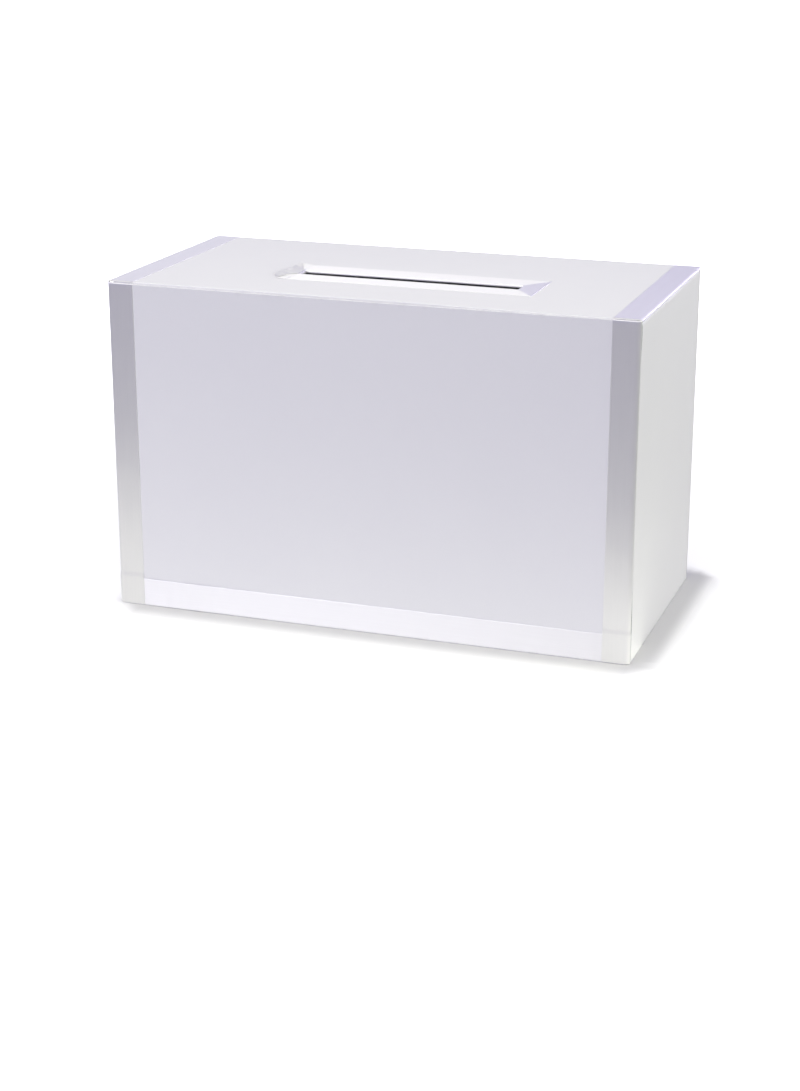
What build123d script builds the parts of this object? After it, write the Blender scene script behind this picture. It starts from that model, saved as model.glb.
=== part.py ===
from build123d import *

import math
import os

os.makedirs("parts", exist_ok=True)

# A free-standing card box folded from white board, with satin ribbon on its edges and round
# the card slot. Millimetres, +Z up. The front faces -Y, and the origin is on the floor under
# the middle of the box. Each creased panel is its own solid, because every crease is a hinge.

# ---- Driving dimensions: the carton
length = 304.8  # outside, left to right
depth = 152.4  # outside, front face to back face
height = 190.5  # floor to the top of the closed lid
board = 1.2  # thickness of the board
corner_radius = 2.0  # outside of an upright crease
crease_land = 0.2  # straight part of an upright crease behind its round
floor_radius = 0.9  # outside of a crease along the floor
cut_edge_radius = 0.4  # softened top edge of the front panel
rim_radius = 0.8  # outside of a rolled side wall's top
lid_edge_radius = 0.8  # softened side edges of the lid
front_drop = 0.4  # front panel's top edge below the lid's top

# ---- Driving dimensions: flaps, tabs and the tuck
flap_meeting_gap = 12.0  # between the two corner flaps inside a side wall
flap_taper = 9.0  # sloping corners of a corner flap
flap_end_clearance = 0.6  # corner flap to the base and to the rim
tab_width = 34.0
tab_spacing = 76.0  # centre to centre of a side wall's two locking tabs
tab_recess = 0.2  # tab end above the floor
tuck_depth = 28.0
tuck_taper = 5.0  # how far each end of the tuck flap slopes in
tuck_corner_radius = 12.0
tuck_tilt = 6.0  # degrees that the closed tuck flap leans into the box
tuck_fold = 45.0  # degrees that it folds further in from there

# ---- Driving dimensions: the card slot and the ribbon
slot_length = 133.35
slot_width = 11.0
slot_offset_x = 4.0  # slot's middle from the lid's middle
slot_offset_y = -16.75
slot_end_width = 12.0  # ribbon showing beyond each end of the slot
ribbon_width = 15.875
ribbon_thickness = 0.3
upright_wrap = 70.0  # degrees that an upright ribbon turns round its corner
lid_wrap = 90.0  # degrees that a lid ribbon turns over the lid's side edge
ribbon_floor_gap = 0.6  # ribbon ends above the floor

# ---- Clearances
layer_gap = 0.1  # between the layers of a side wall
seam_gap = 0.4  # upright crease to the side panel's cut edge
lid_gap = 0.3  # lid to the rims that it rests over
tuck_gap = 0.3  # tuck flap's crease to the front panel
tuck_side_gap = 0.6  # tuck flap's ends to the side walls
hinge_gap = 0.25  # panel to panel at the lid's two creases
tab_gap = 0.2  # locking tab to its slot in the base

# ---- Derived places
half_length = length / 2
half_depth = depth / 2
half_board = board / 2
bead_depth = corner_radius + crease_land
flat_reach = half_length - corner_radius  # ends of the front panel's flat board
flap_x = half_length - 2 * board - layer_gap  # inner face of the corner flaps
inner_x = flap_x - layer_gap - board  # inner face of the inner side panels
side_half_width = half_depth - bead_depth - seam_gap
rim_top = height - board - lid_gap
rim_bottom = rim_top - board
front_top = height - front_drop
hinge_z = height - half_board  # both lid creases turn at mid-board
lid_hinge_y = half_depth - half_board
back_top = hinge_z - half_board - hinge_gap
tuck_hinge_y = -half_depth + board + tuck_gap + half_board
tuck_half_length = inner_x - tuck_side_gap
lid_front_y = tuck_hinge_y + half_board + hinge_gap
arc_middle = ribbon_thickness / 2  # ribbon's mid-thickness above what it lies on
upright_flat = ribbon_width - math.radians(upright_wrap) * (corner_radius + arc_middle)
lid_flat = ribbon_width - math.radians(lid_wrap) * (lid_edge_radius + arc_middle)
frame_half_length = slot_length / 2 + slot_end_width
frame_half_width = slot_width / 2 + ribbon_width


def block(x0, x1, y0, y1, z0, z1):
    """A box between two corners."""
    middle = Pos((x0 + x1) / 2, (y0 + y1) / 2, (z0 + z1) / 2)
    return middle * Box(x1 - x0, y1 - y0, z1 - z0)


def end_panel(top):
    """The front panel: a flat board between its two upright creases, rounded along the floor."""
    panel = block(-flat_reach, flat_reach, -half_depth, -half_depth + board, 0, top)
    panel = fillet(panel.edges().filter_by(Axis.X).group_by(Axis.Z)[0].sort_by(Axis.Y)[0], floor_radius)
    top_edge = panel.edges().filter_by(Axis.X).group_by(Axis.Z)[-1].sort_by(Axis.Y)[0]
    return fillet(top_edge, cut_edge_radius)


def base_panel():
    """The floor of the box, notched for the corner creases and slotted for the tabs."""
    panel = block(
        -half_length + board, half_length - board, -half_depth + board, half_depth - board, 0, board
    )
    notch = 2 * (half_length - flap_x), 2 * bead_depth, 3 * board
    for x in (-half_length, half_length):
        for y in (-half_depth, half_depth):
            panel -= Pos(x, y, 0) * Box(*notch)
    tab_slot = board + 2 * tab_gap, tab_width + 2 * tab_gap, 3 * board
    for x in (-inner_x - half_board, inner_x + half_board):
        for y in (-tab_spacing / 2, tab_spacing / 2):
            panel -= Pos(x, y, 0) * Box(*tab_slot)
    return panel


def corner_crease(top):
    """The rounded upright crease between the front panel and its right corner flap."""
    bend = CenterArc((flat_reach, corner_radius), corner_radius, -90, 90)
    corners = [
        (half_length, bead_depth),
        (flap_x, bead_depth),
        (flap_x, board),
        (flat_reach, board),
    ]
    outline = make_face([bend, Polyline(bend @ 1, *corners, bend @ 0)])
    crease = Pos(0, -half_depth, 0) * extrude(outline, top, dir=(0, 0, 1))
    return fillet(crease.edges().filter_by(GeomType.CIRCLE).group_by(Axis.Z)[0], floor_radius)


def corner_flap(top):
    """The front panel's right corner flap: its crease, then the flap inside the side wall."""
    near = -half_depth + bead_depth
    far = -flap_meeting_gap / 2
    low = board + flap_end_clearance
    high = rim_bottom - flap_end_clearance
    outline = Polygon(
        (near, low),
        (far - flap_taper, low),
        (far, low + flap_taper),
        (far, high - flap_taper),
        (far - flap_taper, high),
        (near, high),
        align=None,
    )
    flap = extrude(Plane.YZ.offset(flap_x) * outline, board, dir=(1, 0, 0))
    return corner_crease(top) + flap


def side_outer():
    """The outer panel of the right side wall, creased up from the base."""
    panel = block(
        half_length - board, half_length, -side_half_width, side_half_width, 0, rim_bottom
    )
    floor_edge = panel.edges().filter_by(Axis.Y).group_by(Axis.Z)[0].sort_by(Axis.X)[-1]
    return fillet(floor_edge, floor_radius)


def side_rim():
    """The narrow strip between two creases that rolls the right side wall over."""
    rim = block(inner_x, half_length, -side_half_width, side_half_width, rim_bottom, rim_top)
    return fillet(rim.edges().filter_by(Axis.Y).group_by(Axis.Z)[-1], rim_radius)


def side_inner():
    """The inner panel of the right side wall, with the tabs that lock it into the base."""
    panel = block(
        inner_x, inner_x + board, -side_half_width, side_half_width, board, rim_bottom
    )
    for y in (-tab_spacing / 2, tab_spacing / 2):
        panel += block(
            inner_x, inner_x + board, y - tab_width / 2, y + tab_width / 2, tab_recess, board
        )
    return panel


def lid_panel():
    """The lid, slotted for cards, rounded at its hinge and bevelled where the tuck folds."""
    lid = block(-half_length, half_length, lid_front_y, lid_hinge_y, height - board, height)
    sides = lid.edges().filter_by(Axis.Y).group_by(Axis.Z)[-1]
    lid = fillet(sides, lid_edge_radius)
    knuckle = Cylinder(half_board, length - 2 * lid_edge_radius, rotation=(0, 90, 0))
    lid += Pos(0, lid_hinge_y, hinge_z) * knuckle
    bevel_depth = 20 * board
    bevel = Box(length + 2, bevel_depth, bevel_depth)
    at_crease = Pos(0, tuck_hinge_y, hinge_z) * Rot(tuck_tilt + tuck_fold, 0, 0)
    lid -= at_crease * Pos(0, half_board + hinge_gap - bevel_depth / 2, 0) * bevel
    return lid - Pos(slot_offset_x, slot_offset_y, height) * Box(slot_length, slot_width, 4 * board)


def tuck_flap():
    """The flap at the lid's front, with the rounded crease that it folds about."""
    outline = Polygon(
        (-tuck_half_length, 0),
        (-tuck_half_length + tuck_taper, -tuck_depth),
        (tuck_half_length - tuck_taper, -tuck_depth),
        (tuck_half_length, 0),
        align=None,
    )
    outline = fillet(outline.vertices().group_by(Axis.Y)[0], tuck_corner_radius)
    flap = extrude(Plane.XZ * outline, half_board, both=True)
    flap += Cylinder(half_board, 2 * tuck_half_length, rotation=(0, 90, 0))
    return Pos(0, tuck_hinge_y, hinge_z) * Rot(tuck_tilt, 0, 0) * flap


def bent_strip(flat, radius, wrap, lift):
    """A ribbon's cross-section: flat along -X, then turned down over a corner at the origin."""
    centre = (-radius, -radius)
    under = CenterArc(centre, radius + lift, 90, -wrap)
    over = CenterArc(centre, radius + lift + ribbon_thickness, 90, -wrap)
    selvedge_low = (-radius - flat, lift)
    selvedge_high = (-radius - flat, lift + ribbon_thickness)
    outline = [
        Line(selvedge_low, under @ 0),
        under,
        Line(under @ 1, over @ 1),
        over,
        Line(over @ 0, selvedge_high),
        Line(selvedge_high, selvedge_low),
    ]
    return make_face(outline)


def upright_section(z, lift):
    """The right upright ribbon's cross-section at height z, lifted off the front panel."""
    plane = Plane(origin=(half_length, -half_depth, z), x_dir=(1, 0, 0), z_dir=(0, 0, 1))
    flipped = mirror(bent_strip(upright_flat, corner_radius, upright_wrap, lift), Plane.XZ)
    return plane * flipped


def upright_ribbon():
    """The right upright ribbon: on the board above, and stepped out over the floor ribbon."""
    overlap_top = ribbon_floor_gap + ribbon_width
    upper = extrude(upright_section(overlap_top, 0), front_top - overlap_top, dir=(0, 0, 1))
    lower_height = ribbon_width + ribbon_thickness
    lower_section = upright_section(ribbon_floor_gap, ribbon_thickness)
    lower = extrude(lower_section, lower_height, dir=(0, 0, 1))
    return upper + lower


def floor_ribbon():
    """The ribbon along the foot of the front panel, turned round both corner creases."""
    z = ribbon_floor_gap
    end = extrude(upright_section(z, 0), ribbon_width, dir=(0, 0, 1))
    reach = flat_reach - upright_flat
    front = -half_depth
    middle = block(-reach, reach, front - ribbon_thickness, front, z, z + ribbon_width)
    return end + middle + mirror(end, Plane.YZ)


def lid_ribbon():
    """The ribbon along the lid's right side, turned down over its edge."""
    section = bent_strip(lid_flat, lid_edge_radius, lid_wrap, 0)
    plane = Plane(
        origin=(half_length, lid_hinge_y - half_board, height), x_dir=(1, 0, 0), z_dir=(0, -1, 0)
    )
    run = lid_hinge_y - half_board - lid_front_y
    return extrude(plane * section, run, dir=(0, -1, 0))


def slot_ribbon(outer_half, inner_half, outer_at, inner_at):
    """One mitred length of the ribbon frame, with its outer and inner edges along X."""
    outline = Polygon(
        (-outer_half, outer_at),
        (outer_half, outer_at),
        (inner_half, inner_at),
        (-inner_half, inner_at),
        align=None,
    )
    return extrude(outline, ribbon_thickness, dir=(0, 0, 1))


def slot_ribbons():
    """The four mitred lengths that frame the card slot."""
    long_edges = frame_half_length, slot_length / 2, frame_half_width, slot_width / 2
    short_edges = frame_half_width, slot_width / 2, frame_half_length, slot_length / 2
    turns = {
        "slot_rear_ribbon": (long_edges, 0),
        "slot_left_ribbon": (short_edges, 90),
        "slot_front_ribbon": (long_edges, 180),
        "slot_right_ribbon": (short_edges, 270),
    }
    place = Pos(slot_offset_x, slot_offset_y, height)
    return {name: place * Rot(0, 0, turn) * slot_ribbon(*edges) for name, (edges, turn) in turns.items()}


nodes = {
    "base_panel": base_panel(),
    "front_panel": end_panel(front_top),
    "back_panel": mirror(end_panel(back_top), Plane.XZ),
    "lid_panel": lid_panel(),
    "tuck_flap": tuck_flap(),
    "floor_ribbon": floor_ribbon(),
    **slot_ribbons(),
}
right_hand = {
    "SIDE_outer": side_outer(),
    "SIDE_rim": side_rim(),
    "SIDE_inner": side_inner(),
    "front_SIDE_flap": corner_flap(front_top),
    "back_SIDE_flap": mirror(corner_flap(back_top), Plane.XZ),
    "front_SIDE_ribbon": upright_ribbon(),
    "lid_SIDE_ribbon": lid_ribbon(),
}
for name, shape in right_hand.items():
    nodes[name.replace("SIDE", "right")] = shape
    nodes[name.replace("SIDE", "left")] = mirror(shape, Plane.YZ)

for name, shape in nodes.items():
    export_step(shape, f"parts/{name}.step")
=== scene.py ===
import math

import bpy
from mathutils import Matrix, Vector, noise


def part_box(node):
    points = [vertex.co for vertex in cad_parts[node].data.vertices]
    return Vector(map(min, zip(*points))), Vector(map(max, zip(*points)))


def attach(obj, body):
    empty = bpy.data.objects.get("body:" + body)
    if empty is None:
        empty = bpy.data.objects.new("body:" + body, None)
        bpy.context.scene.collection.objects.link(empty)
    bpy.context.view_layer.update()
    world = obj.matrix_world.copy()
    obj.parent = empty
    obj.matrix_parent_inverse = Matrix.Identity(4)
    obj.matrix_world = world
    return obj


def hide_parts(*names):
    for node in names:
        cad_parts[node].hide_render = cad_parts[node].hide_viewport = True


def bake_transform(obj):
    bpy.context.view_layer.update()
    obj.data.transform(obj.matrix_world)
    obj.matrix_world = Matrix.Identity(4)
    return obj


# Looks for a free-standing card box: white board, satin ribbon on its edges and a ribbon frame
# round the card slot. Metres, +Z up, front towards -Y, standing on the floor at z = 0.

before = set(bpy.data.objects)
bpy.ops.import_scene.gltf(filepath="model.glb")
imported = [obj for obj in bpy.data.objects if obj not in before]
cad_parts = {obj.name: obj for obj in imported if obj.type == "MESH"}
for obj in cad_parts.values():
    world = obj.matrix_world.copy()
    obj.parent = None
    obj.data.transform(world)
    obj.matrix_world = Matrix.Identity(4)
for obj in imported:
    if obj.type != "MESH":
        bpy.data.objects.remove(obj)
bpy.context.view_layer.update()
MM = 0.001

# ---- Places read from the frame
front_low, front_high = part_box("front_panel")
lid_low, lid_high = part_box("lid_panel")
tuck_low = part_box("tuck_flap")[0]
floor_ribbon_low, floor_ribbon_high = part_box("floor_ribbon")
slot_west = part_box("slot_left_ribbon")
slot_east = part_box("slot_right_ribbon")
slot_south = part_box("slot_front_ribbon")
slot_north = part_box("slot_rear_ribbon")
right_ribbon_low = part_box("front_right_ribbon")[0]
lid_ribbon_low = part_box("lid_right_ribbon")[0]

half_length = lid_high.x
flat_reach = front_high.x
corner_radius = half_length - flat_reach
front_face = front_low.y
board = front_high.y - front_low.y
front_top = front_high.z
lid_top = lid_high.z
crease_radius = (lid_high.z - lid_low.z) / 2
crease_z = lid_high.z - crease_radius
lid_front = lid_low.y
lid_crease_y = lid_high.y - crease_radius
tuck_crease_y = tuck_low.y + crease_radius
slot_x = slot_west[1].x, slot_east[0].x
slot_y = slot_south[1].y, slot_north[0].y
ribbon_width = floor_ribbon_high.z - floor_ribbon_low.z
ribbon_floor_gap = floor_ribbon_low.z
slot_end_width = slot_east[1].x - slot_east[0].x

# ---- How the made-up box departs from flat and square
lid_spring = 0.5 * MM  # the lid's front edge stands up by this at its left and middle
lid_ripple = 0.07 * MM  # the small unevenness over the rest of the lid
front_bulge = 0.45 * MM  # the front panel's top edge bows out by this in its middle
panel_ripple = 0.06 * MM  # the unevenness of the other panels
free_height = 40 * MM  # the crease along the floor holds the front and back flatter below this
top_edge_radius = 0.4 * MM  # roundness of a panel's top edge outside, and of the slot's edge
inner_edge_radius = 0.3 * MM  # and inside, and of the side panels' front edges
side_rear_radius = 0.15 * MM  # roundness of the side panels' rear edges
foot_radius = 0.15 * MM  # roundness of the folds along the floor
lid_edge_radius = 0.8 * MM  # roundness of the lid's two side edges
seam_foot = 1.9 * MM  # how far the seam beside each front corner opens at the floor
seam_head = 1.2 * MM  # and at the lid
press_depth, press_width = 0.14 * MM, 0.35 * MM  # the pressed line under the side panels' rolled tops
slot_clear = 0.35 * MM  # how much wider than the ribbon frame's opening the lid is cut
bevel_lean = math.radians(51)  # lean of the lid's bevel, where the folded tuck comes
rub_reach, foot_rub_reach = 1.5 * MM, 2 * MM  # how far from an edge the board is rubbed
grid_step = 4 * MM  # between a panel's grid lines, away from its edges

# ---- Ribbon and face paper
ribbon_thickness = 0.22 * MM
fold_radius = 0.45 * MM  # of the uprights' turn over the front panel's top edge
slot_roll = 0.65 * MM  # radius of the ribbon's wrap round the slot's edge
slot_wrap = math.radians(165)  # how far it goes round
glue = 0.01 * MM  # the gap under a ribbon
lid_ribbon_start = 0.6 * MM  # how far in front of the rear crease the lid's ribbons begin
rear_paper, front_paper = 0.18 * MM, 0.15 * MM  # thickness of the face paper over each crease
front_paper_reach = 149.6 * MM  # half its length over the front crease


def ease(share):
    """0 to 1 with a smooth start and end."""
    share = min(1.0, max(0.0, share))
    return share * share * (3 - 2 * share)


def ripple(x, y, length, seed):
    """A soft uneven wave, about -1 to 1, whose bumps are length apart."""
    return noise.noise(Vector((x / length, y / length, seed)))


def lid_lift(x, y):
    """How far the closed lid stands up from flat."""
    to_front = ease((lid_crease_y - y) / (lid_crease_y - lid_front))
    to_left = ease((half_length - x) / (1.15 * half_length))
    wave = 1 + ripple(x, y, 55 * MM, seed=3.1) + 0.5 * ripple(x, y, 22 * MM, seed=8.7)
    return to_front * (lid_spring * to_left + lid_ripple * wave)


def front_bow(x, z):
    """How far the front panel stands out from flat."""
    middle = ease(1.25 - abs(x) / (90 * MM))
    wave = ripple(x, z, 60 * MM, seed=5.3) + 0.4 * ripple(x, z, 24 * MM, seed=1.9)
    free = ease(z / free_height)
    return front_bulge * middle * ease(z / front_top) ** 2 + panel_ripple * wave * free


def back_bow(x, z):
    """How far the back panel stands out from flat."""
    return panel_ripple * ripple(x, z, 60 * MM, seed=9.4) * ease(z / free_height)


def turned_edge(distance, radius):
    """How far a rounded edge falls back, at a distance in from its end."""
    inside = max(0.0, radius - max(0.0, distance))
    return radius - math.sqrt(max(0.0, radius * radius - inside * inside))


def lines(start, end, step, fine=(0.0, 0.08, 0.2, 0.4, 0.65, 0.95)):
    """Grid lines from start to end, close together at both ends, where fine gives them in mm."""
    near = [start + f * MM for f in fine]
    far = [end - f * MM for f in reversed(fine)]
    count = max(2, round((far[0] - near[-1]) / step))
    inner = [near[-1] + (far[0] - near[-1]) * i / count for i in range(1, count)]
    return near + inner + far


# ---------------------------------------------------------------- materials


def socket(tree, name, kind, way="INPUT", value=None):
    """Adds a named input or output to a node group."""
    made = tree.interface.new_socket(name, in_out=way, socket_type=kind)
    if value is not None:
        made.default_value = value


def node(tree, kind, settings=(), **inputs):
    """Adds a node, sets its properties, and sets or links its inputs by name."""
    made = tree.nodes.new(kind)
    for key, value in dict(settings).items():
        setattr(made, key, value)
    for name, value in inputs.items():
        put(tree, made, name.replace("_", " "), value)
    return made


def put(tree, made, name, value):
    """Sets or links one input, given by its name or its number."""
    target = made.inputs[int(name)] if name.strip().isdigit() else made.inputs[name]
    if isinstance(value, bpy.types.NodeSocket):
        tree.links.new(value, target)
    else:
        target.default_value = value


def maths(tree, operation, *values, clamp=False):
    """One step of arithmetic on numbers or other nodes' outputs."""
    made = node(tree, "ShaderNodeMath", {"operation": operation, "use_clamp": clamp})
    for i, value in enumerate(values):
        put(tree, made, str(i), value)
    return made.outputs[0]


def mixed_sum(tree, value, scale, offset):
    """value times scale, plus offset."""
    return maths(tree, "ADD", maths(tree, "MULTIPLY", value, scale), offset)


def board_fibre_group():
    """Fine paper fibre and slow cloudiness: a tone from 0 to 1 and a height."""
    tree = bpy.data.node_groups.new("board fibre", "ShaderNodeTree")
    socket(tree, "Fibre", "NodeSocketFloat", value=900.0)
    socket(tree, "Cloud", "NodeSocketFloat", value=22.0)
    socket(tree, "Tone", "NodeSocketFloat", "OUTPUT")
    socket(tree, "Height", "NodeSocketFloat", "OUTPUT")
    given = tree.nodes.new("NodeGroupInput").outputs
    place = tree.nodes.new("ShaderNodeTexCoord").outputs["Object"]
    fibre = node(tree, "ShaderNodeTexNoise", Vector=place, Scale=given["Fibre"], Detail=4.0,
                 Roughness=0.62, Distortion=0.6).outputs["Fac"]
    cloud = node(tree, "ShaderNodeTexNoise", Vector=place, Scale=given["Cloud"], Detail=3.0,
                 Roughness=0.55).outputs["Fac"]
    tone = mixed_sum(tree, fibre, 0.45, maths(tree, "MULTIPLY", cloud, 0.55))
    made = tree.nodes.new("NodeGroupOutput")
    put(tree, made, "Tone", tone)
    put(tree, made, "Height", fibre)
    return tree


def handling_group():
    """Where edges are rubbed: the stored nearness to an edge, broken up by noise."""
    tree = bpy.data.node_groups.new("edge rub", "ShaderNodeTree")
    socket(tree, "Patch size", "NodeSocketFloat", value=140.0)
    socket(tree, "Reach", "NodeSocketFloat", value=0.5)
    socket(tree, "Rub", "NodeSocketFloat", "OUTPUT")
    given = tree.nodes.new("NodeGroupInput").outputs
    place = tree.nodes.new("ShaderNodeTexCoord").outputs["Object"]
    near = node(tree, "ShaderNodeAttribute", {"attribute_name": "near_edge"}).outputs["Fac"]
    patches = node(tree, "ShaderNodeTexNoise", Vector=place, Scale=given["Patch size"], Detail=5.0,
                   Roughness=0.7).outputs["Fac"]
    rub = maths(tree, "MULTIPLY", near, maths(tree, "GREATER_THAN", patches, given["Reach"]))
    soft = maths(tree, "MULTIPLY", rub, maths(tree, "SUBTRACT", patches, given["Reach"]))
    gain = 4.0
    made = tree.nodes.new("NodeGroupOutput")
    put(tree, made, "Rub", maths(tree, "MULTIPLY", soft, gain, clamp=True))
    return tree


def satin_weave_group():
    """Long shining floats of the warp with faint weft, on the ribbon's own UV map."""
    tree = bpy.data.node_groups.new("satin weave", "ShaderNodeTree")
    socket(tree, "Threads", "NodeSocketFloat", value=4200.0)  # a metre, across the ribbon
    socket(tree, "Tone", "NodeSocketFloat", "OUTPUT")
    socket(tree, "Height", "NodeSocketFloat", "OUTPUT")
    given = tree.nodes.new("NodeGroupInput").outputs
    uv = node(tree, "ShaderNodeUVMap", {"uv_map": "UVMap"}).outputs["UV"]
    parts = node(tree, "ShaderNodeSeparateXYZ", Vector=uv).outputs
    across, along = parts["X"], parts["Y"]
    turns = maths(tree, "MULTIPLY", maths(tree, "MULTIPLY", across, given["Threads"]), 2 * math.pi)
    thread = maths(tree, "ABSOLUTE", maths(tree, "SINE", turns))
    columns, stagger, weft_rate, weft_height = 8400.0, 0.37, 5200.0, 0.18
    column = maths(tree, "FLOOR", maths(tree, "MULTIPLY", across, columns))
    offset = maths(tree, "MULTIPLY", column, stagger)
    weft = maths(tree, "SINE", mixed_sum(tree, along, weft_rate, offset))
    streak_scale = (1500.0, 26.0, 1.0)
    streak_place = node(tree, "ShaderNodeMapping", Vector=uv, Scale=streak_scale).outputs["Vector"]
    streak = node(tree, "ShaderNodeTexNoise", Vector=streak_place, Scale=1.0, Detail=3.0,
                  Roughness=0.6).outputs["Fac"]
    height = maths(tree, "ADD", thread, maths(tree, "MULTIPLY", weft, weft_height))
    made = tree.nodes.new("NodeGroupOutput")
    put(tree, made, "Tone", streak)
    put(tree, made, "Height", height)
    return tree


fibre_group, rub_group, weave_group = board_fibre_group(), handling_group(), satin_weave_group()


def new_material(name, **constants):
    """A material with a Principled shader whose constants are set on its own sockets."""
    made = bpy.data.materials.new(name)
    made.use_nodes = True
    shader = made.node_tree.nodes["Principled BSDF"]
    for key, value in constants.items():
        shader.inputs[key.replace("_", " ")].default_value = value
    return made, made.node_tree, shader


def grouped(tree, group, **inputs):
    """Places a shared node group with its own values, and gives its outputs."""
    made = tree.nodes.new("ShaderNodeGroup")
    made.node_tree = group
    for key, value in inputs.items():
        put(tree, made, key.replace("_", " "), value)
    return made.outputs


def tinted(tree, factor, plain, other):
    """plain where factor is 0, other where it is 1; each is a colour or another node's output."""
    made = node(tree, "ShaderNodeMix", {"data_type": "RGBA"})
    put(tree, made, "0", factor)
    for number, colour in (("6", plain), ("7", other)):
        put(tree, made, number, (*colour, 1) if isinstance(colour, tuple) else colour)
    return made.outputs[2]


def board_material(name, colour, shade, rubbed, rough, fibre, bump):
    """Paperboard: cloudy tone, fibre in the height, and rubbed places near edges."""
    made, tree, shader = new_material(name, Specular_IOR_Level=0.4, Sheen_Weight=0.08, Sheen_Roughness=0.5)
    surface = grouped(tree, fibre_group, Fibre=fibre)
    rub = grouped(tree, rub_group)["Rub"]
    put(tree, shader, "Base Color", tinted(tree, rub, tinted(tree, surface["Tone"], colour, shade), rubbed))
    tone_spread, rub_roughness = 0.14, 0.2
    spread = maths(tree, "MULTIPLY", maths(tree, "SUBTRACT", surface["Tone"], 0.5), tone_spread)
    roughness = maths(tree, "ADD", spread, mixed_sum(tree, rub, rub_roughness, rough))
    put(tree, shader, "Roughness", roughness)
    raised = node(tree, "ShaderNodeBump", Height=surface["Height"], Strength=bump, Distance=0.05 * MM)
    put(tree, shader, "Normal", raised.outputs["Normal"])
    return made


def satin_material():
    """White satin: long floats that shine across the ribbon and stay dull along it."""
    made, tree, shader = new_material("white satin", Anisotropic=0.9, Sheen_Weight=0.15,
                                      Sheen_Roughness=0.35, Specular_IOR_Level=0.6)
    weave = grouped(tree, weave_group)
    bright, dull = (0.92, 0.915, 0.925), (0.88, 0.875, 0.885)
    put(tree, shader, "Base Color", tinted(tree, weave["Tone"], bright, dull))
    shine, rough, streaks = 0.56, 0.44, 0.08
    put(tree, shader, "Metallic", mixed_sum(tree, weave["Tone"], streaks, shine))
    put(tree, shader, "Roughness", mixed_sum(tree, weave["Tone"], streaks, rough))
    raised = node(tree, "ShaderNodeBump", Height=weave["Height"], Strength=0.12, Distance=0.03 * MM)
    put(tree, shader, "Normal", raised.outputs["Normal"])
    tangent = node(tree, "ShaderNodeTangent", {"direction_type": "UV_MAP", "uv_map": "UVMap"})
    put(tree, shader, "Tangent", tangent.outputs["Tangent"])
    return made


coated = board_material(
    "coated board", colour=(0.84, 0.84, 0.85), shade=(0.80, 0.80, 0.815), rubbed=(0.72, 0.72, 0.73),
    rough=0.46, fibre=900.0, bump=0.18)
inside_board = board_material(
    "plain board", colour=(0.80, 0.795, 0.78), shade=(0.72, 0.715, 0.70), rubbed=(0.66, 0.65, 0.63),
    rough=0.72, fibre=650.0, bump=0.5)
cut_board = board_material(
    "cut board", colour=(0.80, 0.79, 0.775), shade=(0.66, 0.65, 0.635), rubbed=(0.62, 0.61, 0.6),
    rough=0.85, fibre=1600.0, bump=0.7)
# Dark grey for the side panels' cut edges: painted shade, standing in for the shadow in the seam beside
# each front corner.
painted_seam_shade = board_material(
    "board edge in shade", colour=(0.24, 0.235, 0.23), shade=(0.18, 0.175, 0.17), rubbed=(0.3, 0.3, 0.3),
    rough=0.9, fibre=1600.0, bump=0.7)
satin = satin_material()


# ---------------------------------------------------------------- board panels


def finished(name, verts, faces, materials, indexes=None, sharp=35):
    """A mesh object with outward faces, smooth except at its hard edges."""
    mesh = bpy.data.meshes.new(name)
    mesh.from_pydata(verts, [], faces)
    for material in materials:
        mesh.materials.append(material)
    if indexes:
        mesh.polygons.foreach_set("material_index", indexes)
    mesh.shade_smooth()
    mesh.set_sharp_from_angle(angle=math.radians(sharp))
    made = bpy.data.objects.new(name, mesh)
    bpy.context.scene.collection.objects.link(made)
    return made


def plate(name, us, vs, outside, inside, hole=None, flip=False, edge=cut_board):
    """A board between an outside and an inside surface over one grid, closed at its edges."""
    columns, rows = len(us), len(vs)
    verts = [outside(u, v) for u in us for v in vs] + [inside(u, v) for u in us for v in vs]
    under = columns * rows
    kept = {
        (i, j)
        for i in range(columns - 1)
        for j in range(rows - 1)
        if not (hole and hole((us[i] + us[i + 1]) / 2, (vs[j] + vs[j + 1]) / 2))
    }
    faces, indexes = [], []

    def add(face, index):
        faces.append(tuple(reversed(face)) if flip else face)
        indexes.append(index)

    coat, plain, cut = 0, 1, 2  # places of the three materials
    for i, j in sorted(kept):
        a, b, c, d = i * rows + j, (i + 1) * rows + j, (i + 1) * rows + j + 1, i * rows + j + 1
        add((a, b, c, d), coat)
        add((a + under, d + under, c + under, b + under), plain)
        for other, p, q in (((i, j - 1), a, b), ((i + 1, j), b, c), ((i, j + 1), c, d), ((i - 1, j), d, a)):
            if other not in kept:
                add((q, p, p + under, q + under), cut)
    used = sorted({v for face in faces for v in face})
    place = {v: k for k, v in enumerate(used)}
    faces = [tuple(place[v] for v in face) for face in faces]
    return finished(name, [verts[v] for v in used], faces, (coated, inside_board, edge), indexes)


def store_nearness(made, edges):
    """Keeps on the mesh how near each point is to an edge, for the rubbed places.

    edges gives a point's distances from the edges, each with how far that edge is rubbed.
    """
    values = [max(0.0, *(1 - away / reach for away, reach in edges(v.co))) for v in made.data.vertices]
    made.data.attributes.new("near_edge", "FLOAT", "POINT").data.foreach_set("value", values)


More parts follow.
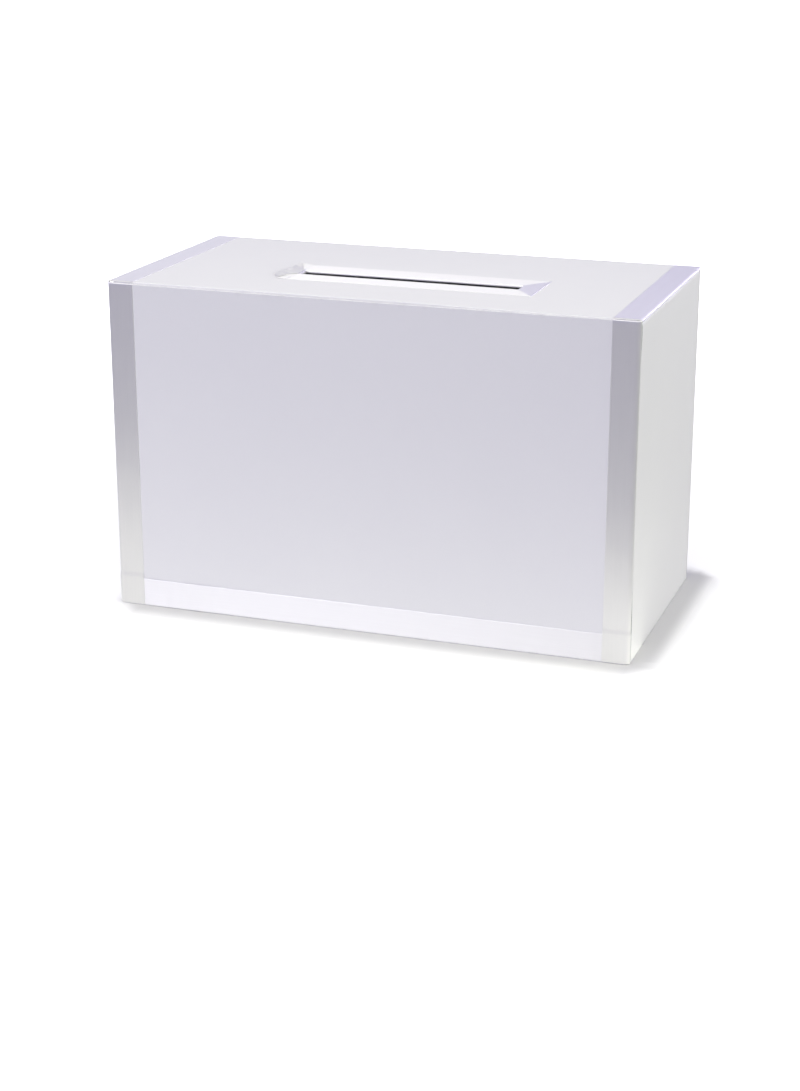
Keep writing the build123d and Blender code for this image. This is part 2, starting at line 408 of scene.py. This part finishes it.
def wall_panel(name, node_name, facing, bow):
    """The front or back panel, with its softened top edge and its crease along the floor."""
    low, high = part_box(node_name)
    top = high.z

    def outside(x, z):
        fall = turned_edge(top - z, top_edge_radius) + turned_edge(z, foot_radius)
        return (x, facing * (-front_face + bow(x, z) - fall), z)

    def inside(x, z):
        fall = turned_edge(top - z, inner_edge_radius)
        return (x, facing * (-front_face - board + bow(x, z) + fall), z)

    made = plate(name, lines(low.x, high.x, grid_step), lines(low.z, top, grid_step), outside, inside,
                 flip=facing > 0)
    store_nearness(made, lambda p: ((top - p.z, rub_reach), (p.z, foot_rub_reach)))
    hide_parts(node_name)
    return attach(made, "box")


def side_panel(name, node_name, facing):
    """An outer side panel, with a pressed line under its rolled top and a seam along its front; its cut
    edges are painted dark as shade in the seam.
    """
    low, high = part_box(node_name)
    top = high.z

    def wave(y, z):
        held = ease((top - z) / (12 * MM)) * ease(z / (12 * MM))
        return panel_ripple * 1.5 * held * ripple(y, z, 48 * MM, seed=4.4 + facing)

    def set_back(y, z):
        near_foot = ease((52 * MM - z) / (30 * MM))
        near_top = ease((z - top + 22 * MM) / (12 * MM))
        gap = seam_foot * near_foot + seam_head * near_top
        return y + gap * ease((low.y + 5 * MM - y) / (5 * MM))

    def outside(y, z):
        pressed = press_depth * math.exp(-(((top - z) / press_width) ** 2))
        ends = turned_edge(y - low.y, inner_edge_radius) + turned_edge(high.y - y, side_rear_radius)
        x = half_length + wave(y, z) - pressed - ends - turned_edge(z, foot_radius)
        return (facing * x, set_back(y, z), z)

    def inside(y, z):
        return (facing * (half_length - board + wave(y, z)), set_back(y, z), z)

    # Its cut edges take the painted seam shade.
    made = plate(name, lines(low.y, high.y, grid_step), lines(low.z, top, grid_step), outside, inside,
                 flip=facing < 0, edge=painted_seam_shade)
    store_nearness(made, lambda p: (
        (top - p.z, rub_reach), (high.y - abs(p.y), rub_reach), (p.z, foot_rub_reach)))
    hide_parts(node_name)
    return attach(made, "box")


def lid_board():
    """The lid, sprung up along its front, rounded at its sides and at the crease behind."""
    hole_x = slot_x[0] - slot_clear, slot_x[1] + slot_clear
    hole_y = slot_y[0] - slot_clear, slot_y[1] + slot_clear
    tuck_room = crease_radius + 0.25 * MM
    least_board = 0.1 * MM

    def in_slot(x, y):
        return hole_x[0] < x < hole_x[1] and hole_y[0] < y < hole_y[1]

    def knuckle(y):
        past = max(0.0, y - lid_crease_y)
        return math.sqrt(max(0.0, crease_radius**2 - past**2))

    def slot_fall(x, y):
        across = max(hole_x[0] - x, x - hole_x[1])
        away = max(across, hole_y[0] - y, y - hole_y[1])
        return turned_edge(away, top_edge_radius) if away < 1 * MM else 0.0

    def outside(x, y):
        fall = turned_edge(half_length - abs(x), lid_edge_radius) + slot_fall(x, y)
        return (x, y, crease_z + knuckle(y) + lid_lift(x, y) - fall)

    def inside(x, y):
        bevel = crease_z + (tuck_room - (y - tuck_crease_y) * math.cos(bevel_lean)) / math.sin(bevel_lean)
        return (x, y, max(crease_z - knuckle(y), min(bevel, lid_top - least_board)) + lid_lift(x, y))

    xs = lines(-half_length, hole_x[0], grid_step) + lines(*hole_x, grid_step)[1:]
    xs += lines(hole_x[1], half_length, grid_step)[1:]
    ys = lines(lid_front, hole_y[0], grid_step) + lines(*hole_y, grid_step)[1:]
    ys += lines(hole_y[1], lid_crease_y + crease_radius, grid_step, (0.0, 0.06, 0.15, 0.3, 0.45, 0.6))[1:]
    made = plate("lid_board", xs, ys, outside, inside, in_slot)
    store_nearness(made, lambda p: ((half_length - abs(p.x), rub_reach), (p.y - lid_front, rub_reach)))
    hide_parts("lid_panel")
    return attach(made, "lid")


wall_panel("front_board", "front_panel", -1, front_bow)
wall_panel("back_board", "back_panel", 1, back_bow)
side_panel("right_board", "right_outer", 1)
side_panel("left_board", "left_outer", -1)
lid_board()


def crease_skin(name, profile, ends, thickness):
    """The board's face paper, unbroken over a crease and bending with it."""
    xs = lines(-ends, ends, 3 * MM)
    verts, faces = [], []
    for x in xs:
        outer = profile(x)
        inner = []
        for k, (y, z) in enumerate(outer):
            before, after = outer[max(0, k - 1)], outer[min(len(outer) - 1, k + 1)]
            run = Vector((after[0] - before[0], after[1] - before[1])).normalized()
            inner.append((y + run.y * thickness, z - run.x * thickness))
        verts += [(x, y, z) for y, z in outer] + [(x, y, z) for y, z in reversed(inner)]
    count = 2 * len(outer)
    for i in range(len(xs) - 1):
        for k in range(count):
            a, b = i * count + k, i * count + (k + 1) % count
            faces.append((a, a + count, b + count, b))
    half = count // 2
    for i in (0, len(xs) - 1):
        for k in range(half - 1):
            cap = [i * count + k, i * count + count - 1 - k, i * count + count - 2 - k, i * count + k + 1]
            faces.append(tuple(reversed(cap) if i == 0 else cap))
    made = finished(name, verts, faces, (coated,))
    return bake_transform(made)


quarter_turn = [math.radians(90 * step / 8) for step in range(9)]


def rear_crease(x):
    """Off the lid, round the crease and down the back, as (y, z) points."""
    out = crease_radius + 0.05 * MM
    on_lid = lid_crease_y - 0.9 * MM
    points = [(on_lid, crease_z + out + lid_lift(x, on_lid))]
    points += [(lid_crease_y + out * math.sin(t), crease_z + out * math.cos(t)) for t in quarter_turn]
    return points + [(lid_crease_y + out, crease_z - down) for down in (1.2 * MM, 2.0 * MM)]


def front_crease(x):
    """Up the tuck, round the crease and onto the lid's front edge, as (y, z) points."""
    out = crease_radius + 0.15 * MM
    lift = lid_lift(x, lid_front)
    rise = out + lift - 0.1 * MM
    on_lid = lid_front + 0.8 * MM
    front = tuck_crease_y - out
    points = [(front + 0.06 * MM, crease_z - 0.9 * MM), (front, crease_z - 0.3 * MM)]
    points += [(tuck_crease_y - out * math.cos(t), crease_z + rise * math.sin(t)) for t in quarter_turn]
    points.append((lid_front + 0.1 * MM, lid_top + lift + 0.05 * MM))
    points.append((on_lid, lid_top + lid_lift(x, on_lid) + 0.02 * MM))
    return points


crease_skin("rear_crease_paper", rear_crease, flat_reach, rear_paper)
crease_skin("front_crease_paper", front_crease, front_paper_reach, front_paper)


# ---------------------------------------------------------------- satin ribbon


def ribbon_tree():
    """Turns a ribbon's under surface into satin: ripples it and gives it thickness and selvedges."""
    tree = bpy.data.node_groups.new("satin ribbon", "GeometryNodeTree")
    socket(tree, "Ribbon", "NodeSocketGeometry")
    for name, value in (("Thickness", 0.0002), ("Ripple", 0.0001), ("Ripple length", 0.006), ("Seed", 0.0)):
        socket(tree, name, "NodeSocketFloat", value=value)
    socket(tree, "Satin", "NodeSocketMaterial")
    socket(tree, "Ribbon", "NodeSocketGeometry", "OUTPUT")
    given = tree.nodes.new("NodeGroupInput").outputs

    def stored(name, kind):
        return node(tree, "GeometryNodeInputNamedAttribute", {"data_type": kind}, Name=name).outputs[0]

    stretched = node(tree, "ShaderNodeVectorMath", {"operation": "MULTIPLY"})
    put(tree, stretched, "0", stored("UVMap", "FLOAT_VECTOR"))
    stretched.inputs[1].default_value = (0.35, 1.0, 1.0)  # bumps are longer across the ribbon
    pattern = node(tree, "ShaderNodeTexNoise", {"noise_dimensions": "4D"}, Vector=stretched.outputs[0],
                   W=given["Seed"], Scale=maths(tree, "DIVIDE", 1.0, given["Ripple length"]), Detail=2.0)
    bumps_from, bump_gain = 0.3, 2.5
    bumps = maths(tree, "SUBTRACT", pattern.outputs[0], bumps_from, clamp=True)
    raised = maths(tree, "MULTIPLY", maths(tree, "MULTIPLY", bumps, bump_gain, clamp=True), given["Ripple"])
    lift = maths(tree, "MULTIPLY", raised, stored("loose", "FLOAT"))
    normal = tree.nodes.new("GeometryNodeInputNormal").outputs[0]

    def moved(geometry, way, amount):
        shift = node(tree, "ShaderNodeVectorMath", {"operation": "SCALE"})
        put(tree, shift, "0", way)
        put(tree, shift, "Scale", amount)
        return node(tree, "GeometryNodeSetPosition", Geometry=geometry, Offset=shift.outputs[0])

    under = moved(given["Ribbon"], normal, lift).outputs[0]
    as_vector = {"data_type": "FLOAT_VECTOR", "domain": "POINT"}
    kept_normal = node(tree, "GeometryNodeStoreNamedAttribute", as_vector, Geometry=under, Name="out",
                       Value=normal).outputs[0]
    grown = node(tree, "GeometryNodeExtrudeMesh", {"mode": "FACES"}, Mesh=kept_normal, Individual=False)
    put(tree, grown, "Offset Scale", 0.0)
    body = maths(tree, "MULTIPLY", given["Thickness"], stored("body", "FLOAT"))
    over = moved(grown.outputs["Mesh"], stored("out", "FLOAT_VECTOR"), body)
    put(tree, over, "Selection", grown.outputs["Top"])
    flipped = node(tree, "GeometryNodeFlipFaces", Mesh=kept_normal).outputs[0]
    joined = tree.nodes.new("GeometryNodeJoinGeometry")
    tree.links.new(flipped, joined.inputs[0])
    tree.links.new(over.outputs[0], joined.inputs[0])
    bare = node(tree, "GeometryNodeMergeByDistance", Geometry=joined.outputs[0], Distance=1e-6).outputs[0]
    for name in ("out", "loose", "body"):
        bare = node(tree, "GeometryNodeRemoveAttribute", Geometry=bare, Name=name).outputs[0]
    real = node(tree, "GeometryNodeRealizeInstances", Geometry=bare).outputs[0]
    covered = node(tree, "GeometryNodeSetMaterial", Geometry=real, Material=given["Satin"]).outputs[0]
    tree.links.new(covered, tree.nodes.new("NodeGroupOutput").inputs[0])
    return tree


ribbon_maker = ribbon_tree()


def selvedge(across):
    """A ribbon's thickness there, from 0.4 at its outermost thread to 1, with a firm bead."""
    edge = min(across, 1 - across) * ribbon_width
    bead = math.exp(-(((edge - 0.5 * MM) / (0.25 * MM)) ** 2))
    return 0.4 + 0.6 * ease(edge / (0.2 * MM)) + 0.25 * bead


ribbon_shares = [0, 0.006, 0.014, 0.026, 0.045, 0.075, *(0.12 + 0.76 * i / 16 for i in range(17)),
                 0.925, 0.955, 0.974, 0.986, 0.994, 1]


def all_loose(share, run):
    """Rippled all over."""
    return 1.0


def ribbon(name, node_name, body, along, place, outward, ripple_depth, seed,
           ripple_length=6 * MM, loose=all_loose, across=ribbon_shares, cut=None):
    """One length of ribbon from its under surface.

    place takes a share of the width and a station along, which is in metres unless cut is given:
    cut then gives the point's place on the flat ribbon. loose says how much it ripples there.
    """
    verts = [place(s, t) for s in across for t in along]
    rows = len(along)
    faces = [
        (i * rows + j, (i + 1) * rows + j, (i + 1) * rows + j + 1, i * rows + j + 1)
        for i in range(len(across) - 1)
        for j in range(rows - 1)
    ]
    mesh = bpy.data.meshes.new(name)
    mesh.from_pydata(verts, [], faces)
    facing = sum((Vector(p.normal) * p.area for p in mesh.polygons), Vector())
    if facing.dot(Vector(outward)) < 0:
        mesh.flip_normals()
    uv = mesh.uv_layers.new(name="UVMap")
    for loop in mesh.loops:
        i, j = divmod(loop.vertex_index, rows)
        uv.data[loop.index].uv = cut(across[i], along[j]) if cut else (across[i] * ribbon_width, along[j])
    grid = [(s, t) for s in across for t in along]
    mesh.attributes.new("body", "FLOAT", "POINT").data.foreach_set("value", [selvedge(s) for s, t in grid])
    mesh.attributes.new("loose", "FLOAT", "POINT").data.foreach_set("value", [loose(s, t) for s, t in grid])
    made = bpy.data.objects.new(name, mesh)
    bpy.context.scene.collection.objects.link(made)
    maker = made.modifiers.new("ribbon", "NODES")
    maker.node_group = ribbon_maker
    values = {"Thickness": ribbon_thickness, "Ripple": ripple_depth, "Ripple length": ripple_length,
              "Seed": seed, "Satin": satin}
    for item in ribbon_maker.interface.items_tree:
        if item.name in values:
            maker[item.identifier] = values[item.name]
    graph = bpy.context.evaluated_depsgraph_get()
    made.data = bpy.data.meshes.new_from_object(made.evaluated_get(graph), preserve_all_data_layers=True,
                                                depsgraph=graph)
    made.modifiers.clear()
    bpy.data.meshes.remove(mesh)
    made.data.name = name
    made.data.shade_smooth()
    made.data.set_sharp_from_angle(angle=math.radians(50))
    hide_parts(node_name)
    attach(made, body)
    return made


def round_corner(run):
    """Where a strip lies that starts run before the front panel's right corner: point and outward way."""
    if run <= 0:
        return Vector((flat_reach + run, front_face)), Vector((0, -1))
    turn = run / corner_radius
    out = Vector((math.sin(turn), -math.cos(turn)))
    return Vector((flat_reach, front_face + corner_radius)) + out * corner_radius, out


upright_start = right_ribbon_low.x - flat_reach
over_floor_ribbon = ribbon_floor_gap + ribbon_width
fold_run = fold_radius * math.pi / 2


def upright_place(side):
    """The upright ribbon on the left (-1) or right (1): up the front and over its top edge."""

    def place(share, up):
        point, out = round_corner(upright_start + share * ribbon_width)
        top = front_top - fold_radius
        if up <= top:
            inward, z = 0.0, up
        elif up <= top + fold_run:
            turn = (up - top) / fold_radius
            inward, z = fold_radius * (1 - math.cos(turn)), top + fold_radius * math.sin(turn)
        else:
            inward, z = fold_radius + up - top - fold_run, front_top
        step = (ribbon_thickness + 0.04 * MM) * ease((over_floor_ribbon + 4 * MM - up) / (4 * MM))
        to_corner = ease((flat_reach + corner_radius - point.x) / (6 * MM))
        bow = front_bow(side * point.x, min(z, front_top)) * to_corner
        point = point + out * (step + bow - inward + glue)
        return (side * point.x, point.y, z + 2 * glue)

    return place


def upright_lines(start, top):
    """Heights along an upright ribbon, close together over the floor ribbon's edge and the top fold."""
    stations = [start + (over_floor_ribbon - 2 * MM - start) * i / 5 for i in range(6)]
    stations += [over_floor_ribbon - 2 * MM + 7 * MM * i / 14 for i in range(1, 15)]
    low, high, count = stations[-1], front_top - fold_radius, 70
    stations += [low + (high - low) * i / count for i in range(1, count + 1)]
    stations += [high + fold_run * i / 6 for i in range(1, 7)]
    return stations + [top]


upright_end = front_top - fold_radius + fold_run + 0.5 * MM
for side, hand in ((-1, "left"), (1, "right")):
    ribbon(f"front_{hand}_satin", f"front_{hand}_ribbon", "box",
           upright_lines(ribbon_floor_gap, upright_end), upright_place(side),
           (side * 0.3, -1, 0), ripple_depth=0.05 * MM, seed=2.0 + side, ripple_length=14 * MM)


def floor_lines(end):
    """Stations along the floor ribbon from its middle, with end round each corner."""
    count = 190
    flat = [-flat_reach + 2 * flat_reach * i / count for i in range(count + 1)]
    turn = [end * i / 6 for i in range(1, 7)]
    return [-flat_reach - t for t in reversed(turn)] + flat + [flat_reach + t for t in turn]


def floor_place(share, run):
    """The ribbon along the foot of the front, round both corners."""
    side = -1 if run < 0 else 1
    point, out = round_corner(abs(run) - flat_reach)
    z = ribbon_floor_gap + share * ribbon_width
    bow = front_bow(side * point.x, z) * ease((flat_reach - abs(run)) / (6 * MM))
    point = point + out * (bow - turned_edge(z, foot_radius) + glue)
    return (side * point.x, point.y, z)


def floor_loose(share, run):
    """Puckered near the left end, nearly flat in the rest, held down under the uprights."""
    held = ease((flat_reach + upright_start - abs(run)) / (5 * MM))
    pucker = math.exp(-(((run + 112 * MM) / (30 * MM)) ** 2))
    return held * (0.35 + 2.2 * pucker)


floor_turn = math.radians(70) * corner_radius
ribbon("floor_satin", "floor_ribbon", "box", floor_lines(floor_turn), floor_place,
       (0, -1, 0),
       ripple_depth=0.2 * MM, seed=7.0, loose=floor_loose)


def lid_side_place(side):
    """The ribbon along a side of the lid, turned down over its edge and over the front crease."""
    turn_start = half_length - lid_edge_radius
    flat_run = turn_start - lid_ribbon_low.x

    def place(share, forward):
        run = share * ribbon_width
        if run <= flat_run:
            x, fall = lid_ribbon_low.x + run, 0.0
        else:
            turn = (run - flat_run) / lid_edge_radius
            x = turn_start + lid_edge_radius * math.sin(min(turn, math.pi / 2))
            fall = lid_edge_radius * (1 - math.cos(min(turn, math.pi / 2)))
            fall += lid_edge_radius * max(0.0, turn - math.pi / 2)
        y = lid_crease_y - lid_ribbon_start - forward
        nose = 0.0
        if y < tuck_crease_y:
            turn = min(nose_turn, (tuck_crease_y - y) / nose_radius)
            y = tuck_crease_y - nose_radius * math.sin(turn)
            nose = nose_radius * (1 - math.cos(turn))
        over_paper = 0.09 * MM * ease((lid_front + 1.5 * MM - y) / (1.5 * MM))
        z = lid_top + lid_lift(side * x, max(y, lid_front)) - fall - nose + over_paper + glue
        return (side * (x + 2 * glue), y, z)

    return place


nose_radius, nose_turn = crease_radius + 0.2 * MM, 1.2  # the ribbon's turn over the front crease
lid_run = lid_crease_y - lid_ribbon_start - tuck_crease_y + 0.95 * nose_radius
near_nose = lid_run - 4 * MM
lid_stations = [lid_run * i / 60 for i in range(60) if lid_run * i / 60 < near_nose]
lid_stations += [near_nose + 4 * MM * i / 16 for i in range(17)]
for side, hand in ((-1, "left"), (1, "right")):
    ribbon(f"lid_{hand}_satin", f"lid_{hand}_ribbon", "lid", lid_stations, lid_side_place(side),
           (side * 0.1, 0, 1), ripple_depth=0.06 * MM,
           seed=11.0 + side, ripple_length=11 * MM)


# ---- The frame round the slot
slot_low_x, slot_low_y, slot_high_y = slot_west[0].x, slot_south[0].y, slot_north[1].y
slot_middle = Vector(((slot_x[0] + slot_x[1]) / 2, (slot_y[0] + slot_y[1]) / 2))
slot_half = Vector(((slot_x[1] - slot_x[0]) / 2, (slot_y[1] - slot_y[0]) / 2))
roll_run = slot_roll * slot_wrap


def crumple(x, y):
    """How far the frame's left end is pushed in towards the slot."""
    outer_end = slot_x[0] - slot_end_width
    share = ease((slot_x[0] + 2 * MM - x) / (2 * MM))
    outward = min(1.0, max(0.0, (slot_x[0] - x) / (slot_x[0] - outer_end)))
    rearward = (y - slot_low_y) / (slot_high_y - slot_low_y)
    at_front, at_rear = ease(1 - rearward / 0.3), ease((rearward - 0.45) / 0.5)
    inner_push, outer_push = 3.6, 2.5 + 6.0 * at_front + 4.5 * at_rear
    return share * MM * (inner_push * (1 - outward) + outer_push * outward)


def curl(x, y, hand):
    """The frame's loose rear left corner, which stands up off the lid."""
    height = {"left": 1.5 * MM, "rear": 0.7 * MM}.get(hand, 0.0)
    across = (x - slot_low_x - 8 * MM) / (4.5 * MM)
    along = (slot_high_y - y) / (6.0 * MM)
    return height * math.exp(-across * across) * math.exp(-along * along)


def slot_place(turn, width, inner_half, outer_half, edge, hand):
    """One mitred side of the frame: in from its selvedge, then wrapped round the slot's edge."""
    flat_run = width - slot_roll
    whole = flat_run + roll_run

    def section(share):
        """Distance from the slot, fall below the lid and half length at a share of the width."""
        run = share * whole
        if run <= flat_run:
            from_slot, fall = width - run, 0.0
        else:
            angle = (run - flat_run) / slot_roll
            from_slot = slot_roll * (1 - math.sin(angle))
            fall = slot_roll * (1 - math.cos(angle))
        return from_slot, fall, inner_half + (outer_half - inner_half) * max(0.0, from_slot) / width

    def cut(share, along):
        across, up = share * whole, along * section(share)[2]
        if hand == "left":  # its threads run at a slant
            return 0.75 * across + 0.66 * up, 0.75 * up - 0.66 * across
        return across, up

    def place(share, along):
        from_slot, fall, half = section(share)
        u, v = along * half, -(edge + from_slot)
        x = slot_middle.x + u * math.cos(turn) - v * math.sin(turn)
        y = slot_middle.y + u * math.sin(turn) + v * math.cos(turn)
        x += crumple(x, y)
        return (x, y, lid_top + lid_lift(x, y) - fall + curl(x, y, hand) + 1.5 * glue)

    return place, cut, whole


def slot_across(width):
    """Shares of a frame strip's width, close together at its selvedge and round the wrap."""
    flat_run = width - slot_roll
    whole = flat_run + roll_run
    shares = [0, 0.006, 0.014, 0.03, 0.06]
    shares += [0.06 + (flat_run / whole - 0.06) * i / 14 for i in range(1, 15)]
    return shares + [(flat_run + roll_run * i / 12) / whole for i in range(1, 13)]


def front_loose(share, along):
    """Most rippled towards the left mitre of the front strip."""
    return 0.12 + 1.6 * ease((0.12 - (1 + along) / 2) / 0.12)


def rear_loose(share, along):
    """The rear strip runs the other way."""
    return front_loose(share, -along)


# For each side: its turn about the slot, its width, its half length beside the slot and at its
# selvedge, how far the slot's edge is from the slot's middle, its ripple depth in mm, its steps
# along, and where it is loose.
long_half, end_half = slot_half.x + slot_end_width, slot_half.y + ribbon_width
frame_sides = {
    "front": (0.0, ribbon_width, slot_half.x, long_half, slot_half.y, 0.12, 90, front_loose),
    "rear": (math.pi, ribbon_width, slot_half.x, long_half, slot_half.y, 0.12, 90, rear_loose),
    "left": (-math.pi / 2, slot_end_width, slot_half.y, end_half, slot_half.x, 0.9, 36, all_loose),
    "right": (math.pi / 2, slot_end_width, slot_half.y, end_half, slot_half.x, 0.08, 24, all_loose),
}
for number, (hand, settings) in enumerate(frame_sides.items()):
    turn, width, inner, outer, edge, depth, count, loose = settings
    place, cut, whole = slot_place(turn, width, inner, outer, edge, hand)
    run = [-1 + 2 * i / count for i in range(count + 1)]
    ribbon(f"slot_{hand}_satin", f"slot_{hand}_ribbon", "lid", run, place,
           (0, 0, 1), ripple_depth=depth * MM, seed=20.0 + number, ripple_length=5 * MM,
           loose=loose, across=slot_across(width), cut=cut)


# ---------------------------------------------------------------- carried-over panels

# The rims and corner flaps show the blank's coated side, the rest its plain side.
for name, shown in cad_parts.items():
    if not shown.hide_render:
        shows_coat = name.endswith("_rim") or name.endswith("_flap") and name != "tuck_flap"
        shown.data.materials.clear()
        shown.data.materials.append(coated if shows_coat else inside_board)


# ---------------------------------------------------------------- floor, light and camera


def softbox(name, place, aim, width, height, power, colour):
    """A soft rectangular light, unseen by the camera itself."""
    data = bpy.data.lights.new(name, "AREA")
    data.shape, data.size, data.size_y = "RECTANGLE", width, height
    data.energy, data.color = power, colour
    made = bpy.data.objects.new(name, data)
    made.location = place
    made.rotation_euler = (Vector(aim) - Vector(place)).to_track_quat("-Z", "Y").to_euler()
    made.visible_camera = False
    bpy.context.scene.collection.objects.link(made)
    return made


softbox("top light", (-0.12, -0.3, 1.15), aim=(0, 0, 0.19), width=1.9, height=1.1, power=12.1,
        colour=(0.988, 1.0, 0.745))
softbox("front light", (-0.9, -1.85, 0.95), aim=(0, 0, 0.1), width=1.4, height=1.2, power=17.2,
        colour=(0.943, 0.939, 1.0))
softbox("back light", (-0.6, 1.7, 1.05), aim=(0, 0, 0.19), width=1.2, height=0.9, power=2.95,
        colour=(0.952, 1.0, 0.738))
softbox("rear fill", (1.0, 1.8, 0.45), aim=(0, 0, 0.1), width=0.9, height=0.8, power=11.3,
        colour=(0.838, 0.787, 1.0))
softbox("right light", (1.9, 0.1, 0.8), aim=(0, 0, 0.1), width=1.2, height=1.2, power=20.4,
        colour=(0.947, 1.0, 0.676))
# Reflector sheets lying on the floor at the front and on the right.
bounce = softbox("front bounce", (-0.09, -0.17, 0.0001), aim=(-0.09, -0.17, 1.0), width=0.68, height=0.205,
                 power=0.275, colour=(0.986, 1.0, 0.866))
bounce.rotation_euler.z += math.radians(5)
softbox("right bounce", (0.2785, 0.02, 0.0001), aim=(0.2785, 0.02, 1.0), width=0.25, height=0.33,
        power=0.063, colour=(1.0, 0.967, 0.963))

floor_mesh = bpy.data.meshes.new("floor")
floor_half = 8
floor_corners = ((-1, -1), (1, -1), (1, 1), (-1, 1))
floor_mesh.from_pydata([(x * floor_half, y * floor_half, 0) for x, y in floor_corners], [], [(0, 1, 2, 3)])
floor = bpy.data.objects.new("floor", floor_mesh)
bpy.context.scene.collection.objects.link(floor)
floor_look, floor_tree, floor_shader = new_material("pale floor", Roughness=0.9, Specular_IOR_Level=0.1,
                                                    Emission_Strength=0.0)
floor_shader.inputs["Emission Color"].default_value = (1, 1, 1, 1)
seen = floor_tree.nodes.new("ShaderNodeLightPath").outputs["Is Camera Ray"]


def glow(west, east, south, north, start, end, amount):
    """A glow that grows with distance from a rectangle, so the floor is darkest round the box's foot: a
    painted shadow.
    """
    spot = node(floor_tree, "ShaderNodeSeparateXYZ",
                Vector=floor_tree.nodes.new("ShaderNodeTexCoord").outputs["Object"]).outputs
    away = []
    for axis, low, high in (("X", west, east), ("Y", south, north)):
        off = maths(floor_tree, "ABSOLUTE", maths(floor_tree, "SUBTRACT", spot[axis], (low + high) / 2))
        away.append(maths(floor_tree, "MAXIMUM", maths(floor_tree, "SUBTRACT", off, (high - low) / 2), 0.0))
    grown = node(floor_tree, "ShaderNodeMapRange", {"interpolation_type": "SMOOTHSTEP"},
                 Value=maths(floor_tree, "ADD", *away))
    for name, value in (("From Min", start), ("From Max", end), ("To Min", 0.0), ("To Max", amount)):
        grown.inputs[name].default_value = value
    return grown.outputs["Result"]


# Painted shadow round the box's foot: the floor's glow is held low along the front and, offset to the right
# and back, along the right side, where a light from the upper left would cast shadow. Far from the box the
# floor glows evenly bright.
front_painted_shadow_glow = glow(-half_length + 14 * MM, half_length, front_face, -front_face, 3 * MM, 25 * MM, 0.5)
right_painted_shadow_glow = glow(0, half_length + 6 * MM, front_face + 9 * MM, -front_face + 4 * MM, 1 * MM, 16 * MM, 0.5)
painted_shadow_glow = maths(floor_tree, "MINIMUM", front_painted_shadow_glow, right_painted_shadow_glow)
far_glow = glow(-half_length, half_length, front_face, -front_face, 0.1, 1.0, 1.2)
put(floor_tree, floor_shader, "Emission Strength",
    maths(floor_tree, "MULTIPLY", seen, maths(floor_tree, "ADD", painted_shadow_glow, far_glow)))
floor_lit, floor_seen = (0.35, 0.35, 0.35), (0.69, 0.69, 0.685)
put(floor_tree, floor_shader, "Base Color", tinted(floor_tree, seen, floor_lit, floor_seen))
floor_mesh.materials.append(floor_look)

world = bpy.data.worlds.new("studio")
bpy.context.scene.world = world
world.use_nodes = True
sky = world.node_tree
backdrop = sky.nodes["Background"]
sky_seen = sky.nodes.new("ShaderNodeLightPath").outputs["Is Camera Ray"]
fill_light, white_backdrop = (0.095, 0.066, 0.295), (1.2, 1.2, 1.2)
put(sky, backdrop, "Color", tinted(sky, sky_seen, fill_light, white_backdrop))

camera_data = bpy.data.cameras.new("camera")
camera_data.lens, camera_data.sensor_width = 69.75, 36.0
camera = bpy.data.objects.new("camera", camera_data)
camera_turn, camera_rise = math.radians(19.22), math.radians(18.605)
camera_aim, camera_away = Vector((-0.00569, 0, 0.02697)), 1.2566
level = math.cos(camera_rise)
back = Vector((math.sin(camera_turn) * level, -math.cos(camera_turn) * level, math.sin(camera_rise)))
camera.location = camera_aim + back * camera_away
camera.rotation_euler = (-back).to_track_quat("-Z", "Y").to_euler()
bpy.context.scene.collection.objects.link(camera)
bpy.context.scene.camera = camera
bpy.context.scene.view_settings.view_transform = "Standard"
